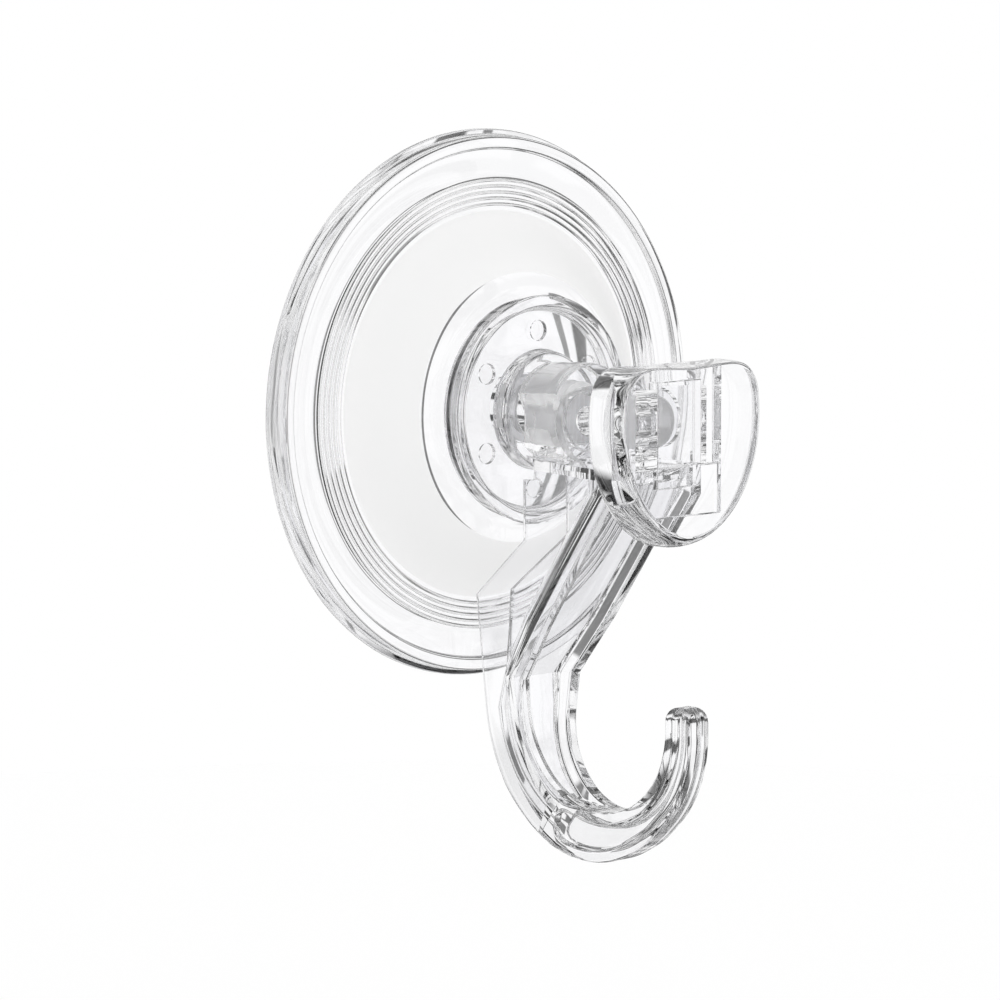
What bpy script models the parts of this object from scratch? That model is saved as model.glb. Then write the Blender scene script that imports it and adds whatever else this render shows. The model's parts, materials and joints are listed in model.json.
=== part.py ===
"""Clear suction cup hook with a flip lever.

Frame: +Z up, +X right, the wall is the plane Y = 0 and the hook stands out
towards -Y. The origin is where the axis of the cup meets the wall. Every size
below is in millimetres, and the model itself is in metres. "Forward" is the
distance from the wall, so a point that is f forward lies at y = -f.
"""
import math

import bmesh
import bpy
from mathutils import Matrix, Vector

MM = 0.001
CLEARANCE = 0.3          # gap between pieces that touch on the real hook

# Suction cup, locked: its middle is drawn off the wall
CUP_RADIUS = 42.5
CUP_SEAL_INNER_RADIUS = 33.0
CUP_HOLLOW_DEPTH = 4.0
CUP_HOLLOW_FLAT_RADIUS = 11.0
CUP_LIP_THICKNESS = 0.7
CUP_SKIRT_THICKNESS = 2.7
RIM_BEAD_HEIGHT = 0.8
RIM_BEAD_WIDTH = 2.2
RIDGE_COUNT = 5
RIDGE_OUTER_RADIUS = 34.9
RIDGE_PITCH = 0.93
RIDGE_HEIGHT = 0.6
RIDGE_BASE = 3.2         # how far forward the ridges start
DOME_FOOT_RADIUS = 30.0
DOME_TOP_RADIUS = 20.2
DOME_TOP = 10.4
CUP_TOP = 10.9           # forward face that the cap bears on
CUP_SEGMENTS = 64

# Stem: base disc held in the cup, post through cap and sleeve
STEM_RADIUS = 4.0
STEM_END = 37.3
STEM_END_ROUNDING = 1.0
STEM_BASE_RADIUS = 5.4
STEM_BASE_THICKNESS = 1.8
STEM_BASE_BACK = 6.0
STEM_SEGMENTS = 32

# Pressure cap
CAP_RIM_RADIUS_BACK = 17.1
CAP_RIM_RADIUS_FRONT = 17.7
CAP_RIM_INNER_RADIUS = 15.6
CAP_RIM_FRONT = 15.1
CAP_FACE = 13.9
CAP_PLATE_THICKNESS = 1.3
CAP_BOSS_RADIUS = 9.1
CAP_BOSS_FRONT = 16.2
CAP_BOSS_CHAMFER = 0.8
CAP_HUB_RADIUS = 7.4     # ring under the plate that bears on the cup
CAP_SEGMENTS = 48
PIP_COUNT = 6
PIP_CIRCLE_RADIUS = 12.1
PIP_RADIUS = 1.7
PIP_DEPTH = 0.6

# Sleeve of the hook moulding
SLEEVE_RADIUS_BACK = 7.5
SLEEVE_RADIUS_FRONT = 7.95
SLEEVE_FRONT = 25.5
SLEEVE_CHAMFER = 0.5
SLEEVE_BORE_RADIUS = 4.9
SLEEVE_GUIDE_LENGTH = 3.0
SLEEVE_SEGMENTS = 48
SLEEVE_FLAT_TOP = 3.2    # below this height the sleeve's sides slant in to flat walls
SLEEVE_WALL_TOP = 0.2
SLEEVE_WALL_THICKNESS = 0.9

# Arm, seen from the side: (forward, up) of its kinks
ARM_TOP = -7.0           # top edge of the arm ahead of the sleeve
ARM_TOP_FRONT = 37.9
ARM_SHOULDER = (37.9, -11.2)
ARM_KINK = (16.7, -41.0)
ARM_RELIEF_BACK = 18.4   # back edge beside the boss of the cap
ARM_BACK = 16.0          # back edge beside the rim of the cap
ARM_STEP_HEIGHT = -10.1
ARM_HIP = (16.1, -19.5)
ARM_KNEE = (4.3, -29.2)
ARM_SHIN = (4.6, -41.4)
CHANNEL_LIP_WIDTH = 2.2  # channel down the front of the arm
CHANNEL_DEPTH = 2.1
CHANNEL_FADE = 238       # degrees round the throat where the channel gets shallower
CHANNEL_END = 262
FLOOR_THICKNESS = 1.7    # between the channel and the cavity behind it
WALL_THICKNESS = 1.1     # side walls of the cavity, open towards the cup
CAVITY_END = 232
ARM_EDGE_ROUNDING = 0.35
CUT_OVERRUN = 1.5        # how far a cutter runs past the face it opens

# J of the hook
THROAT_RADIUS = 13.8
THROAT_CENTRE = (30.3, -46.2)
J_DEPTHS = ((180, 11.8), (210, 11.3), (240, 9.9), (262, 8.5), (290, 6.5), (310, 5.7), (360, 5.3))
TIP_LENGTH = 1.9         # straight run of the tip above the throat's centre
TIP_ROUNDING = 2.2
J_RIM_THICKNESS = 1.8    # rims on both sides of the pocket in each side of the J
J_POCKET_DEPTH = 0.95
J_POCKET_START = 240     # degrees round the throat
J_POCKET_END = 360
J_POCKET_ROUNDING = 9    # degrees over which the pocket opens to its full width
J_STEPS = 26

# Half widths of the moulding along the arm: (station, front, back)
ARM_WIDTHS = {
    "top": (7.8, 5.3),
    "hip": (7.8, 5.3),
    "knee": (7.6, 4.5),
    "shin": (6.4, 3.4),
}
J_WIDTHS = ((180, 5.9, 2.9), (205, 5.0, 2.3), (235, 4.2, 2.0), (270, 3.1, 2.1), (300, 2.5, 2.1),
            (360, 2.1, 2.1))

# Hinge pin and lever
PIN_TO_STEM_END = 5.5
PIN_CENTRE = (STEM_END - PIN_TO_STEM_END, 0.0)
PIN_RADIUS = 2.0
PIN_HEAD_RADIUS = 4.2
PIN_HEAD_THICKNESS = 1.1
PIN_SEGMENTS = 28
CAM_RADIUS = 5.4
CAM_OFFSET = (-0.6, -0.75)
CAM_START = 95          # degrees of the cam's round nose
CAM_END = 260
CAM_STEPS = 14
CHEEK_OUTER = 7.4        # half width over the two cheeks
CHEEK_INNER = STEM_RADIUS + CLEARANCE + 0.2
LEVER_HALF_WIDTH = 15.6
LEVER_HALF_HEIGHT = 19.4
LEVER_CENTRE_HEIGHT = 1.0
LEVER_TOP = 9.1
LEVER_CORNER_ROUNDING = 5.6
CORNER_SHARE = 0.8      # of the rounding, taken from the outline's side
LEVER_CORNER_STEPS = 5
LEVER_BACK = ARM_TOP_FRONT + 3.7
LEVER_THICKNESS = 6.2
LEVER_CROWN_DEPTH = 5.1  # how far back the rounding of the front edge starts
LEVER_CROWN_INSET = 2.3
LEVER_CROWN_STEPS = 4
PLATFORM_HALF_WIDTH = 8.8        # raised ground on the back of the paddle that carries the cheeks
PLATFORM_HEIGHT = 1.4
PLATFORM_TOP = LEVER_TOP - 0.3
PLATFORM_BOTTOM = -13.8
LEVER_POCKET_TOP = 6.6   # pocket between the cheeks, through the platform
LEVER_POCKET_BOTTOM = -9.4
LEVER_POCKET_DEPTH = 0.4
ROOT_HEIGHT = 2.0        # thick roots of the cheeks
ROOT_TOP = 8.4
CHEEK_ROOT_TOP = 5.6
CHEEK_ROOT_BOTTOM = -6.5
JOIN_OVERLAP = 0.4
LEVER_SEGMENTS = 22


def clear_scene():
    for obj in list(bpy.data.objects):
        bpy.data.objects.remove(obj, do_unlink=True)


def clear_plastic(name, colour, roughness, ior):
    """Colourless plastic: light passes through it."""
    material = bpy.data.materials.new(name)
    material.use_nodes = True
    shader = material.node_tree.nodes["Principled BSDF"]
    shader.inputs["Base Color"].default_value = (*colour, 1.0)
    shader.inputs["Roughness"].default_value = roughness
    shader.inputs["Metallic"].default_value = 0.0
    shader.inputs["IOR"].default_value = ior
    shader.inputs["Transmission Weight"].default_value = 1.0
    return material


def place(across, forward, up):
    """A point of the model from millimetres across, forward and up."""
    return Vector((across * MM, -forward * MM, up * MM))


def finish(name, mesh, material, origin=None, sharp_angle=35):
    """Put a mesh in the scene, with its origin at a given point."""
    if origin is not None:
        for vertex in mesh.vertices:
            vertex.co -= origin
    obj = bpy.data.objects.new(name, mesh)
    if origin is not None:
        obj.location = origin
    bpy.context.scene.collection.objects.link(obj)
    if material is not None:
        mesh.materials.append(material)
    mesh.shade_smooth()
    mesh.set_sharp_from_angle(angle=math.radians(sharp_angle))
    return obj


def to_mesh(bm, name):
    bmesh.ops.remove_doubles(bm, verts=bm.verts, dist=1e-7)
    bmesh.ops.recalc_face_normals(bm, faces=bm.faces)
    mesh = bpy.data.meshes.new(name)
    bm.to_mesh(mesh)
    bm.free()
    return mesh


def turned(name, profile, segments, closed=False):
    """Spin a (radius, forward) profile about the axis of the cup."""
    bm = bmesh.new()
    points = [bm.verts.new(place(radius, forward, 0.0)) for radius, forward in profile]
    edges = [bm.edges.new(pair) for pair in zip(points, points[1:])]
    if closed:
        edges.append(bm.edges.new((points[-1], points[0])))
    bmesh.ops.spin(bm, geom=points + edges, cent=(0, 0, 0), axis=(0, 1, 0),
                   angle=math.tau, steps=segments, use_merge=True)
    return to_mesh(bm, name)


def cross_cylinder(name, radius, centre, half_length, segments):
    """A cylinder along X, round a (forward, up) centre."""
    bm = bmesh.new()
    bmesh.ops.create_circle(bm, cap_ends=True, segments=segments, radius=radius * MM)
    bmesh.ops.rotate(bm, verts=bm.verts, cent=(0, 0, 0),
                     matrix=Matrix.Rotation(math.radians(90), 3, "Y"))
    bmesh.ops.translate(bm, verts=bm.verts, vec=place(-half_length, *centre))
    disc = list(bm.faces)
    extruded = bmesh.ops.extrude_face_region(bm, geom=disc)
    moved = [item for item in extruded["geom"] if isinstance(item, bmesh.types.BMVert)]
    bmesh.ops.translate(bm, verts=moved, vec=(2 * half_length * MM, 0, 0))
    return to_mesh(bm, name)


def extruded_outline(name, outline, across_from, across_to):
    """Extrude a (forward, up) outline along X."""
    bm = bmesh.new()
    points = [bm.verts.new(place(across_from, forward, up)) for forward, up in outline]
    face = bm.faces.new(points)
    extruded = bmesh.ops.extrude_face_region(bm, geom=[face])
    moved = [item for item in extruded["geom"] if isinstance(item, bmesh.types.BMVert)]
    bmesh.ops.translate(bm, verts=moved, vec=((across_to - across_from) * MM, 0, 0))
    return to_mesh(bm, name)


def lofted(name, rings):
    """Skin closed rings of equal length, with flat ends."""
    bm = bmesh.new()
    rows = [[bm.verts.new(place(*point)) for point in ring] for ring in rings]
    for lower, upper in zip(rows, rows[1:]):
        for index in range(len(lower)):
            following = (index + 1) % len(lower)
            bm.faces.new((lower[index], lower[following], upper[following], upper[index]))
    bm.faces.new(rows[0])
    bm.faces.new(rows[-1])
    bmesh.ops.connect_verts_nonplanar(bm, faces=bm.faces, angle_limit=math.radians(0.2))
    return to_mesh(bm, name)


def cutter(name, mesh):
    obj = bpy.data.objects.new(name, mesh)
    bpy.context.scene.collection.objects.link(obj)
    obj.hide_render = True
    obj.display_type = "WIRE"
    return obj


def combine(obj, tool, operation):
    modifier = obj.modifiers.new(tool.name, "BOOLEAN")
    modifier.operation = operation
    modifier.solver = "EXACT"
    modifier.object = tool
    return modifier


def between(table, position):
    """Smooth interpolation in rows of (position, value, ...)."""
    rows = list(table)
    if position <= rows[0][0]:
        return rows[0][1:]
    for low, high in zip(rows, rows[1:]):
        if position <= high[0]:
            share = (position - low[0]) / (high[0] - low[0])
            return tuple(a + (b - a) * share for a, b in zip(low[1:], high[1:]))
    return rows[-1][1:]


def mix(a, b, share):
    return tuple(p + (q - p) * share for p, q in zip(a, b))


def build_cup(material):
    """Soft disc: seal, hollow behind, ridged skirt, dome and socket for the stem."""
    profile = [(0.0, CUP_HOLLOW_DEPTH), (CUP_HOLLOW_FLAT_RADIUS, CUP_HOLLOW_DEPTH)]
    steps = 5
    for step in range(1, steps):
        share = step / steps
        radius = CUP_HOLLOW_FLAT_RADIUS + (CUP_SEAL_INNER_RADIUS - CUP_HOLLOW_FLAT_RADIUS) * share
        profile.append((radius, CUP_HOLLOW_DEPTH * (1 + math.cos(math.pi * share)) / 2))
    profile.append((CUP_SEAL_INNER_RADIUS, 0.0))
    profile.append((CUP_RADIUS, 0.0))
    profile.append((CUP_RADIUS, CUP_LIP_THICKNESS))
    bead_top = CUP_SKIRT_THICKNESS + RIM_BEAD_HEIGHT
    bead_outer = CUP_RADIUS - 0.9
    profile.append((bead_outer, CUP_LIP_THICKNESS + 0.7))
    profile.append((bead_outer - 0.1, bead_top - 0.5))
    profile.append((bead_outer - 0.6, bead_top))
    profile.append((bead_outer - RIM_BEAD_WIDTH + 0.5, bead_top - 0.1))
    profile.append((bead_outer - RIM_BEAD_WIDTH, CUP_SKIRT_THICKNESS))
    profile.append((RIDGE_OUTER_RADIUS + 0.5, RIDGE_BASE - 0.2))
    for ridge in range(RIDGE_COUNT):
        outer = RIDGE_OUTER_RADIUS - ridge * RIDGE_PITCH
        profile.append((outer, RIDGE_BASE))
        profile.append((outer - RIDGE_PITCH * 0.4, RIDGE_BASE + RIDGE_HEIGHT))
    profile.append((RIDGE_OUTER_RADIUS - RIDGE_COUNT * RIDGE_PITCH, RIDGE_BASE))
    for step in range(6):
        share = step / 5
        radius = DOME_FOOT_RADIUS + (DOME_TOP_RADIUS - DOME_FOOT_RADIUS) * share
        rise = (1 - math.cos(math.pi * (0.1 + 0.75 * share))) / 2
        low = (1 - math.cos(math.pi * 0.1)) / 2
        high = (1 - math.cos(math.pi * 0.85)) / 2
        height = RIDGE_BASE + (DOME_TOP - RIDGE_BASE) * (rise - low) / (high - low)
        profile.append((radius, height))
    profile.append((CAP_RIM_RADIUS_FRONT + 0.8, CUP_TOP))
    socket = STEM_RADIUS + CLEARANCE
    pocket = STEM_BASE_RADIUS + CLEARANCE
    pocket_back = STEM_BASE_BACK - CLEARANCE
    pocket_front = STEM_BASE_BACK + STEM_BASE_THICKNESS + CLEARANCE
    profile.append((socket, CUP_TOP))
    profile.append((socket, pocket_front))
    profile.append((pocket, pocket_front))
    profile.append((pocket, pocket_back))
    profile.append((0.0, pocket_back))
    return finish("suction_cup", turned("suction_cup", profile, CUP_SEGMENTS), material)


def build_stem(material):
    """Post with a base disc that the cup holds, and a cross hole for the pin."""
    base_front = STEM_BASE_BACK + STEM_BASE_THICKNESS
    profile = [
        (0.0, STEM_BASE_BACK),
        (STEM_BASE_RADIUS, STEM_BASE_BACK),
        (STEM_BASE_RADIUS, base_front),
        (STEM_RADIUS, base_front),
        (STEM_RADIUS, STEM_END - STEM_END_ROUNDING),
        (STEM_RADIUS - STEM_END_ROUNDING * 0.3, STEM_END - STEM_END_ROUNDING * 0.3),
        (STEM_RADIUS - STEM_END_ROUNDING, STEM_END),
        (0.0, STEM_END),
    ]
    stem = finish("stem", turned("stem", profile, STEM_SEGMENTS), material)
    hole = cross_cylinder("stem_hole", PIN_RADIUS + CLEARANCE, PIN_CENTRE,
                          STEM_RADIUS + 2.0, PIN_SEGMENTS)
    combine(stem, cutter("stem_hole", hole), "DIFFERENCE")
    return stem


def build_cap(material):
    """Round cap that presses on the cup: rim, plate with six marks, boss."""
    back = CUP_TOP + CLEARANCE
    plate_back = CAP_FACE - CAP_PLATE_THICKNESS
    bore = STEM_RADIUS + CLEARANCE
    profile = [
        (bore, back),
        (CAP_HUB_RADIUS, back),
        (CAP_HUB_RADIUS, plate_back),
        (CAP_RIM_INNER_RADIUS - 0.2, plate_back),
        (CAP_RIM_INNER_RADIUS - 0.1, back),
        (CAP_RIM_RADIUS_BACK - 0.3, back),
        (CAP_RIM_RADIUS_BACK, back + 0.3),
        (CAP_RIM_RADIUS_FRONT, CAP_RIM_FRONT - 0.6),
        (CAP_RIM_RADIUS_FRONT - 0.25, CAP_RIM_FRONT - 0.15),
        (CAP_RIM_RADIUS_FRONT - 0.7, CAP_RIM_FRONT),
        (CAP_RIM_INNER_RADIUS + 0.5, CAP_RIM_FRONT),
        (CAP_RIM_INNER_RADIUS + 0.1, CAP_RIM_FRONT - 0.4),
        (CAP_RIM_INNER_RADIUS, CAP_FACE),
        (CAP_BOSS_RADIUS, CAP_FACE),
        (CAP_BOSS_RADIUS, CAP_BOSS_FRONT - CAP_BOSS_CHAMFER),
        (CAP_BOSS_RADIUS - CAP_BOSS_CHAMFER, CAP_BOSS_FRONT),
        (bore, CAP_BOSS_FRONT),
    ]
    cap = finish("pressure_cap", turned("pressure_cap", profile, CAP_SEGMENTS, closed=True), material)
    bm = bmesh.new()
    for index in range(PIP_COUNT):
        turn = math.tau * index / PIP_COUNT
        centre = place(PIP_CIRCLE_RADIUS * math.sin(turn), CAP_FACE,
                       PIP_CIRCLE_RADIUS * math.cos(turn))
        made = bmesh.ops.create_cone(bm, cap_ends=True, segments=20, radius1=PIP_RADIUS * MM,
                                     radius2=PIP_RADIUS * MM, depth=2 * PIP_DEPTH * MM)
        bmesh.ops.rotate(bm, verts=made["verts"], cent=(0, 0, 0),
                         matrix=Matrix.Rotation(math.radians(90), 3, "X"))
        bmesh.ops.translate(bm, verts=made["verts"], vec=centre)
    combine(cap, cutter("cap_marks", to_mesh(bm, "cap_marks")), "DIFFERENCE")
    return cap


def j_point(angle, outward):
    turn = math.radians(angle)
    reach = THROAT_RADIUS + outward
    return (THROAT_CENTRE[0] + reach * math.cos(turn), THROAT_CENTRE[1] + reach * math.sin(turn))


def arm_stations():
    """Pairs of front and back points with half widths, from the sleeve to the tip."""
    def along(share):
        return mix(ARM_SHOULDER, ARM_KINK, share)

    stations = [
        ((ARM_TOP_FRONT, ARM_TOP), (ARM_RELIEF_BACK, ARM_TOP + 1.0), ARM_WIDTHS["top"]),
        ((ARM_TOP_FRONT, ARM_STEP_HEIGHT), (ARM_RELIEF_BACK, ARM_STEP_HEIGHT + 0.15), ARM_WIDTHS["top"]),
        (ARM_SHOULDER, (ARM_BACK, ARM_STEP_HEIGHT - 0.15), ARM_WIDTHS["top"]),
        (along(0.36), ARM_HIP, ARM_WIDTHS["hip"]),
        (along(0.70), ARM_KNEE, ARM_WIDTHS["knee"]),
        (along(0.88), mix(ARM_KNEE, ARM_SHIN, 0.55), mix(ARM_WIDTHS["knee"], ARM_WIDTHS["shin"], 0.6)),
        (ARM_KINK, ARM_SHIN, ARM_WIDTHS["shin"]),
    ]
    for step in range(J_STEPS + 1):
        angle = 180 + 180 * step / J_STEPS
        depth = between(J_DEPTHS, angle)[0]
        stations.append((j_point(angle, 0.0), j_point(angle, depth), between(J_WIDTHS, angle)))
    return stations


def section(front, back, half_front, half_back, rounding):
    """Eight-cornered section between a front point and a back point."""
    length = math.dist(front, back)
    inset = rounding / length
    near = mix(front, back, inset)
    far = mix(back, front, inset)
    corner = rounding
    return [
        (-half_front + corner, *front), (half_front - corner, *front),
        (half_front, *near), (half_back, *far),
        (half_back - corner, *back), (-half_back + corner, *back),
        (-half_back, *far), (-half_front, *near),
    ]


def inward(station_front, angle=None):
    """Direction from the front face into the moulding."""
    if angle is not None:
        turn = math.radians(angle)
        return (math.cos(turn), math.sin(turn))
    run = math.dist(ARM_SHOULDER, ARM_KINK)
    slope = ((ARM_KINK[1] - ARM_SHOULDER[1]) / run, -(ARM_KINK[0] - ARM_SHOULDER[0]) / run)
    if station_front == ARM_KINK:
        slope = ((slope[0] - 1.0) / 2, slope[1] / 2)
    return slope


def offset(point, direction, distance):
    return (point[0] + direction[0] * distance, point[1] + direction[1] * distance)


def cavity_rings():
    """Hollow between the two side walls of the arm, open towards the cup."""
    depth = CHANNEL_DEPTH + FLOOR_THICKNESS
    ceiling = ARM_TOP - FLOOR_THICKNESS
    half_front, half_back = ARM_WIDTHS["top"]
    shoulder = offset(ARM_SHOULDER, inward(ARM_SHOULDER), depth)
    rings = [box_section((shoulder[0], ceiling), (ARM_BACK - CUT_OVERRUN, ceiling),
                         half_front - WALL_THICKNESS, half_back - WALL_THICKNESS)]
    for front, back, halves in arm_stations()[3:7]:
        rings.append(hollow_section(front, back, inward(front), halves, depth))
    for step in range(9):
        angle = 180 + (CAVITY_END - 180) * step / 8
        thickness = between(J_DEPTHS, angle)[0]
        rings.append(hollow_section(j_point(angle, 0.0), j_point(angle, thickness),
                                    inward(None, angle), between(J_WIDTHS, angle), depth))
    return rings


def hollow_section(front, back, direction, halves, depth):
    length = math.dist(front, back)
    beyond = mix(front, back, 1.0 + CUT_OVERRUN / length)
    return box_section(offset(front, direction, depth), beyond,
                       halves[0] - WALL_THICKNESS, halves[1] - WALL_THICKNESS)


def box_section(front, back, half_front, half_back):
    return [(-half_front, *front), (half_front, *front), (half_back, *back), (-half_back, *back)]


def channel_rings():
    """Channel between the two lips of the front face, fading out in the J."""
    rings = []
    top = mix(ARM_SHOULDER, ARM_KINK, -0.3)
    run = [(top, None, ARM_WIDTHS["top"][0])]
    run += [(front, None, halves[0]) for front, back, halves in arm_stations()[2:7]]
    for step in range(11):
        angle = 180 + (CHANNEL_END - 180) * step / 10
        run.append((j_point(angle, 0.0), angle, between(J_WIDTHS, angle)[0]))
    for front, angle, half_front in run:
        direction = inward(front, angle)
        half = half_front - CHANNEL_LIP_WIDTH
        depth = CHANNEL_DEPTH
        if angle is not None and angle > CHANNEL_FADE:
            fade = (CHANNEL_END - angle) / (CHANNEL_END - CHANNEL_FADE)
            depth = CHANNEL_DEPTH * fade - 0.3 * (1 - fade)
        rings.append(box_section(offset(front, direction, -CUT_OVERRUN),
                                 offset(front, direction, depth), half, half))
    return rings


def pocket_rings(side):
    """Pocket in one side of the J, between an inner and an outer rim."""
    rings = []
    steps = 24
    for step in range(steps + 1):
        angle = J_POCKET_START + (J_POCKET_END - J_POCKET_START) * step / steps
        thickness = between(J_DEPTHS, angle)[0]
        half_front, half_back = between(J_WIDTHS, angle)
        opened = min(1.0, (angle - J_POCKET_START) / J_POCKET_ROUNDING)
        opened = 0.35 + 0.65 * math.sqrt(opened * (2.0 - opened))
        middle = thickness / 2
        reach = (middle - J_RIM_THICKNESS) * opened
        inner = (middle - reach) / thickness
        outer = (middle + reach) / thickness
        ring = []
        for share, extra in ((inner, -J_POCKET_DEPTH), (outer, -J_POCKET_DEPTH),
                             (outer, CUT_OVERRUN), (inner, CUT_OVERRUN)):
            surface = half_front + (half_back - half_front) * share
            ring.append((side * (surface + extra), *j_point(angle, thickness * share)))
        rings.append(ring)
    return rings


def sleeve_flat(side, half_back):
    """Block that takes off the round side of the sleeve below its slant."""
    round_width = math.sqrt(SLEEVE_RADIUS_BACK ** 2 - SLEEVE_FLAT_TOP ** 2)
    slope = (SLEEVE_FLAT_TOP - SLEEVE_WALL_TOP) / (round_width - half_back)
    outer = SLEEVE_RADIUS_FRONT + CUT_OVERRUN
    corners = [(half_back, SLEEVE_WALL_TOP), (outer, SLEEVE_WALL_TOP + slope * (outer - half_back)),
               (outer, -outer), (half_back, -outer)]
    rings = [[(side * across, forward, up) for across, up in corners]
             for forward in (CAP_BOSS_FRONT, SLEEVE_FRONT + CUT_OVERRUN)]
    return lofted("sleeve_flat", rings)


def build_hook(material):
    """Sleeve, ribbed arm and J hook in one moulding."""
    sleeve_back = CAP_BOSS_FRONT + CLEARANCE
    guide = STEM_RADIUS + CLEARANCE
    guide_back = SLEEVE_FRONT - SLEEVE_GUIDE_LENGTH
    profile = [
        (SLEEVE_BORE_RADIUS, sleeve_back),
        (SLEEVE_RADIUS_BACK - SLEEVE_CHAMFER, sleeve_back),
        (SLEEVE_RADIUS_BACK, sleeve_back + SLEEVE_CHAMFER),
        (SLEEVE_RADIUS_FRONT, SLEEVE_FRONT - SLEEVE_CHAMFER),
        (SLEEVE_RADIUS_FRONT - SLEEVE_CHAMFER, SLEEVE_FRONT),
        (guide, SLEEVE_FRONT),
        (guide, guide_back),
        (SLEEVE_BORE_RADIUS, guide_back - 1.0),
    ]
    hook = finish("hook_body", turned("hook_body", profile, SLEEVE_SEGMENTS, closed=True), material)

    half_back = ARM_WIDTHS["top"][1]
    for side, label in ((-1, "left"), (1, "right")):
        flat = cutter("sleeve_flat_" + label, sleeve_flat(side, half_back))
        combine(hook, flat, "DIFFERENCE")
        wall = [(ARM_RELIEF_BACK, SLEEVE_WALL_TOP), (SLEEVE_FRONT, SLEEVE_WALL_TOP),
                (SLEEVE_FRONT, ARM_TOP - 0.5), (ARM_RELIEF_BACK, ARM_TOP - 0.5)]
        low, high = sorted((side * (half_back - SLEEVE_WALL_THICKNESS), side * half_back))
        rise = extruded_outline("sleeve_wall_" + label, wall, low, high)
        combine(hook, cutter("sleeve_wall_" + label, rise), "UNION")

    stations = arm_stations()
    rings = [section(front, back, half_front, half_back, ARM_EDGE_ROUNDING)
             for front, back, (half_front, half_back) in stations]
    last_front, last_back, (half_front, half_back) = stations[-1]
    depth = (last_back[0] - last_front[0]) / 2
    centre = (last_front[0] + last_back[0]) / 2
    for share in (0.0, 0.5, 0.8, 0.97):
        keep = math.sqrt(1.0 - share ** 2)
        rise = last_front[1] + TIP_LENGTH + share * TIP_ROUNDING
        rings.append(section((centre - depth * keep, rise), (centre + depth * keep, rise),
                             half_front * (0.3 + 0.7 * keep), half_back * (0.3 + 0.7 * keep),
                             ARM_EDGE_ROUNDING * 0.7))
    combine(hook, cutter("arm_body", lofted("arm_body", rings)), "UNION")
    for side, label in ((-1, "left"), (1, "right")):
        pocket = lofted("j_pocket_" + label, pocket_rings(side))
        combine(hook, cutter("j_pocket_" + label, pocket), "DIFFERENCE")
    combine(hook, cutter("arm_cavity", lofted("arm_cavity", cavity_rings())), "DIFFERENCE")
    combine(hook, cutter("arm_channel", lofted("arm_channel", channel_rings())), "DIFFERENCE")
    return hook


def build_pin(material):
    """Cross pin with a head on each side."""
    shaft = CHEEK_OUTER - PIN_HEAD_THICKNESS
    bm = bmesh.new()
    profile = [
        (0.0, -CHEEK_OUTER), (PIN_HEAD_RADIUS, -CHEEK_OUTER), (PIN_HEAD_RADIUS, -shaft),
        (PIN_RADIUS, -shaft), (PIN_RADIUS, shaft),
        (PIN_HEAD_RADIUS, shaft), (PIN_HEAD_RADIUS, CHEEK_OUTER), (0.0, CHEEK_OUTER),
    ]
    points = [bm.verts.new(place(across, 0.0, radius)) for radius, across in profile]
    edges = [bm.edges.new(pair) for pair in zip(points, points[1:])]
    bmesh.ops.spin(bm, geom=points + edges, cent=(0, 0, 0), axis=(1, 0, 0),
                   angle=math.tau, steps=PIN_SEGMENTS, use_merge=True)
    bmesh.ops.translate(bm, verts=bm.verts, vec=place(0.0, *PIN_CENTRE))
    return finish("hinge_pin", to_mesh(bm, "hinge_pin"), material, origin=place(0.0, *PIN_CENTRE))


def ellipse_half_width(up):
    height = min(1.0, abs(up - LEVER_CENTRE_HEIGHT) / LEVER_HALF_HEIGHT)
    return LEVER_HALF_WIDTH * math.sqrt(1 - height ** 2)


def lever_outline():
    """Ellipse cut off at the top, its two corners rounded: the right half, then its mirror image."""
    top_half = ellipse_half_width(LEVER_TOP)
    fall = LEVER_TOP - LEVER_CENTRE_HEIGHT + LEVER_HALF_HEIGHT
    side = []
    for step in range(LEVER_SEGMENTS + 1):
        up = LEVER_TOP - fall * math.sin(math.pi / 2 * step / LEVER_SEGMENTS)
        if up < LEVER_TOP - CORNER_SHARE * LEVER_CORNER_ROUNDING:
            side.append((ellipse_half_width(up), up))
    corner = (top_half, LEVER_TOP)
    bend = []
    for step in range(LEVER_CORNER_STEPS):
        share = step / LEVER_CORNER_STEPS
        along_top = mix((top_half - LEVER_CORNER_ROUNDING, LEVER_TOP), corner, share)
        bend.append(mix(along_top, mix(corner, side[0], share), share))
    half = bend + side
    return half + [(-across, up) for across, up in reversed(half[:-1])]


def cheek_outline():
    """Round cam nose running into the back of the paddle, forward and up."""
    centre = (PIN_CENTRE[0] + CAM_OFFSET[0], PIN_CENTRE[1] + CAM_OFFSET[1])
    root = LEVER_BACK - PLATFORM_HEIGHT + JOIN_OVERLAP
    points = [(root, CHEEK_ROOT_TOP)]
    for step in range(CAM_STEPS + 1):
        turn = math.radians(CAM_START + (CAM_END - CAM_START) * step / CAM_STEPS)
        points.append((centre[0] + CAM_RADIUS * math.cos(turn), centre[1] + CAM_RADIUS * math.sin(turn)))
    points.append((root, CHEEK_ROOT_BOTTOM))
    return points


def side_block(name, back, front, bottom, top, low, high):
    """Block between two depths, two heights and two places across."""
    outline = [(back, top), (front, top), (front, bottom), (back, bottom)]
    return extruded_outline(name, outline, low, high)


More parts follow.
